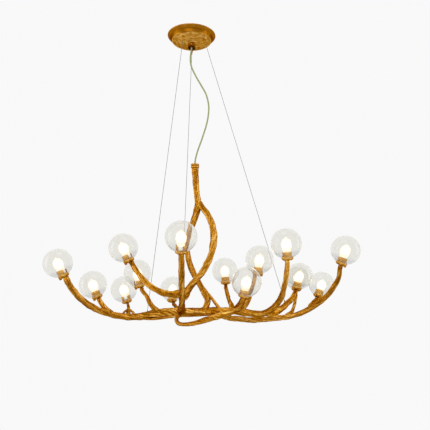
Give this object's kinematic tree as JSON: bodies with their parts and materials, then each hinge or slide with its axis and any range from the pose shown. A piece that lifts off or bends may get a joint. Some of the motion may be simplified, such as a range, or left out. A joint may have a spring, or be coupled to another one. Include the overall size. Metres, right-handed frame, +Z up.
{
  "type": "branch chandelier",
  "caption": "Twisted bronze branch chandelier: clear glass globes over frosted bulbs on curving boughs, hung by fine wires and a loose cord from a round ceiling canopy.",
  "frame": {"origin": "middle of the ceiling face, between the two ceiling-screw slots of the bracket", "axes": "+Z up to the ceiling, +X along the longest reach of the boughs, -Y the side that the picture shows"},
  "size_m": [1.095, 0.554, 1.073],
  "materials": {
    "bronze": "cast bronze with dark grooves and rubbed bright ribs",
    "zinc_plate": "zinc plated strip",
    "bare_brass": "turned thread",
    "terminal_plastic": "moulded terminal block",
    "cord_sleeve": "braided olive textile sleeve",
    "steel_wire": "fine stranded wire",
    "white_ceramic": "glazed lampholder",
    "clear_glass": "clear blown glass, slightly uneven",
    "frosted_bulb": "lit opal bulb"
  },
  "bodies": {
    "frame": {"canopy": "bronze", "ceiling_bracket": "zinc_plate", "threaded_nipple": "bare_brass", "cord_outlet": "bronze", "terminal_block": "terminal_plastic", "power_cord": "cord_sleeve", "suspension_wires": "steel_wire", "wire_fittings": "bronze", "trunk_ferrule": "bronze", "trunk": "bronze", "left_strand": "bronze", "right_strand": "bronze", "thin_strands": "bronze", "left_bough": "bronze", "right_bough": "bronze", "lower_bough": "bronze", "branch_02": "bronze", "branch_03": "bronze", "branch_04": "bronze", "branch_05": "bronze", "branch_06": "bronze", "branch_07": "bronze", "branch_08": "bronze", "branch_09": "bronze", "branch_10": "bronze", "branch_12": "bronze", "branch_13": "bronze", "branch_15": "bronze", "lamp_cups": "bronze", "lampholders": "white_ceramic"},
    "globe_01": {"globe_01": "clear_glass"},
    "globe_02": {"globe_02": "clear_glass"},
    "globe_03": {"globe_03": "clear_glass"},
    "globe_04": {"globe_04": "clear_glass"},
    "globe_05": {"globe_05": "clear_glass"},
    "globe_06": {"globe_06": "clear_glass"},
    "globe_07": {"globe_07": "clear_glass"},
    "globe_08": {"globe_08": "clear_glass"},
    "globe_09": {"globe_09": "clear_glass"},
    "globe_10": {"globe_10": "clear_glass"},
    "globe_11": {"globe_11": "clear_glass"},
    "globe_12": {"globe_12": "clear_glass"},
    "globe_13": {"globe_13": "clear_glass"},
    "globe_14": {"globe_14": "clear_glass"},
    "globe_15": {"globe_15": "clear_glass"},
    "bulb_01": {"bulb_01": "frosted_bulb"},
    "bulb_02": {"bulb_02": "frosted_bulb"},
    "bulb_03": {"bulb_03": "frosted_bulb"},
    "bulb_04": {"bulb_04": "frosted_bulb"},
    "bulb_05": {"bulb_05": "frosted_bulb"},
    "bulb_06": {"bulb_06": "frosted_bulb"},
    "bulb_07": {"bulb_07": "frosted_bulb"},
    "bulb_08": {"bulb_08": "frosted_bulb"},
    "bulb_09": {"bulb_09": "frosted_bulb"},
    "bulb_10": {"bulb_10": "frosted_bulb"},
    "bulb_11": {"bulb_11": "frosted_bulb"},
    "bulb_12": {"bulb_12": "frosted_bulb"},
    "bulb_13": {"bulb_13": "frosted_bulb"},
    "bulb_14": {"bulb_14": "frosted_bulb"},
    "bulb_15": {"bulb_15": "frosted_bulb"}
  },
  "joints": [
    {"name": "globe_01_lift", "type": "slide", "parent": "frame", "child": "globe_01", "axis": [-0.4373, -0.0306, 0.8988], "range_m": [0, 0.08]},
    {"name": "globe_02_lift", "type": "slide", "parent": "frame", "child": "globe_02", "axis": [-0.3848, 0.0678, 0.9205], "range_m": [0, 0.08]},
    {"name": "globe_03_lift", "type": "slide", "parent": "frame", "child": "globe_03", "axis": [-0.4216, 0.0295, 0.9063], "range_m": [0, 0.08]},
    {"name": "globe_04_lift", "type": "slide", "parent": "frame", "child": "globe_04", "axis": [-0.2951, 0.1376, 0.9455], "range_m": [0, 0.08]},
    {"name": "globe_05_lift", "type": "slide", "parent": "frame", "child": "globe_05", "axis": [-0.1685, 0.042, 0.9848], "range_m": [0, 0.08]},
    {"name": "globe_06_lift", "type": "slide", "parent": "frame", "child": "globe_06", "axis": [0.0153, 0.4381, 0.8988], "range_m": [0, 0.08]},
    {"name": "globe_07_lift", "type": "slide", "parent": "frame", "child": "globe_07", "axis": [0, -0.1736, 0.9848], "range_m": [0, 0.08]},
    {"name": "globe_08_lift", "type": "slide", "parent": "frame", "child": "globe_08", "axis": [-0.0594, 0.1632, 0.9848], "range_m": [0, 0.08]},
    {"name": "globe_09_lift", "type": "slide", "parent": "frame", "child": "globe_09", "axis": [0.1801, -0.104, 0.9781], "range_m": [0, 0.08]},
    {"name": "globe_10_lift", "type": "slide", "parent": "frame", "child": "globe_10", "axis": [0.1261, -0.0588, 0.9903], "range_m": [0, 0.08]},
    {"name": "globe_11_lift", "type": "slide", "parent": "frame", "child": "globe_11", "axis": [-0.0714, -0.05, 0.9962], "range_m": [0, 0.08]},
    {"name": "globe_12_lift", "type": "slide", "parent": "frame", "child": "globe_12", "axis": [0.2676, 0.1545, 0.9511], "range_m": [0, 0.08]},
    {"name": "globe_13_lift", "type": "slide", "parent": "frame", "child": "globe_13", "axis": [0.383, 0.3214, 0.866], "range_m": [0, 0.08]},
    {"name": "globe_14_lift", "type": "slide", "parent": "frame", "child": "globe_14", "axis": [0.3145, -0.0843, 0.9455], "range_m": [0, 0.08]},
    {"name": "globe_15_lift", "type": "slide", "parent": "frame", "child": "globe_15", "axis": [0.1294, 0.2241, 0.9659], "range_m": [0, 0.08]},
    {"name": "bulb_01_pull", "type": "slide", "parent": "frame", "child": "bulb_01", "axis": [-0.4373, -0.0306, 0.8988], "range_m": [0, 0.02]},
    {"name": "bulb_02_pull", "type": "slide", "parent": "frame", "child": "bulb_02", "axis": [-0.3848, 0.0678, 0.9205], "range_m": [0, 0.02]},
    {"name": "bulb_03_pull", "type": "slide", "parent": "frame", "child": "bulb_03", "axis": [-0.4216, 0.0295, 0.9063], "range_m": [0, 0.02]},
    {"name": "bulb_04_pull", "type": "slide", "parent": "frame", "child": "bulb_04", "axis": [-0.2951, 0.1376, 0.9455], "range_m": [0, 0.02]},
    {"name": "bulb_05_pull", "type": "slide", "parent": "frame", "child": "bulb_05", "axis": [-0.1685, 0.042, 0.9848], "range_m": [0, 0.02]},
    {"name": "bulb_06_pull", "type": "slide", "parent": "frame", "child": "bulb_06", "axis": [0.0153, 0.4381, 0.8988], "range_m": [0, 0.02]},
    {"name": "bulb_07_pull", "type": "slide", "parent": "frame", "child": "bulb_07", "axis": [0, -0.1736, 0.9848], "range_m": [0, 0.02]},
    {"name": "bulb_08_pull", "type": "slide", "parent": "frame", "child": "bulb_08", "axis": [-0.0594, 0.1632, 0.9848], "range_m": [0, 0.02]},
    {"name": "bulb_09_pull", "type": "slide", "parent": "frame", "child": "bulb_09", "axis": [0.1801, -0.104, 0.9781], "range_m": [0, 0.02]},
    {"name": "bulb_10_pull", "type": "slide", "parent": "frame", "child": "bulb_10", "axis": [0.1261, -0.0588, 0.9903], "range_m": [0, 0.02]},
    {"name": "bulb_11_pull", "type": "slide", "parent": "frame", "child": "bulb_11", "axis": [-0.0714, -0.05, 0.9962], "range_m": [0, 0.02]},
    {"name": "bulb_12_pull", "type": "slide", "parent": "frame", "child": "bulb_12", "axis": [0.2676, 0.1545, 0.9511], "range_m": [0, 0.02]},
    {"name": "bulb_13_pull", "type": "slide", "parent": "frame", "child": "bulb_13", "axis": [0.383, 0.3214, 0.866], "range_m": [0, 0.02]},
    {"name": "bulb_14_pull", "type": "slide", "parent": "frame", "child": "bulb_14", "axis": [0.3145, -0.0843, 0.9455], "range_m": [0, 0.02]},
    {"name": "bulb_15_pull", "type": "slide", "parent": "frame", "child": "bulb_15", "axis": [0.1294, 0.2241, 0.9659], "range_m": [0, 0.02]}
  ]
}
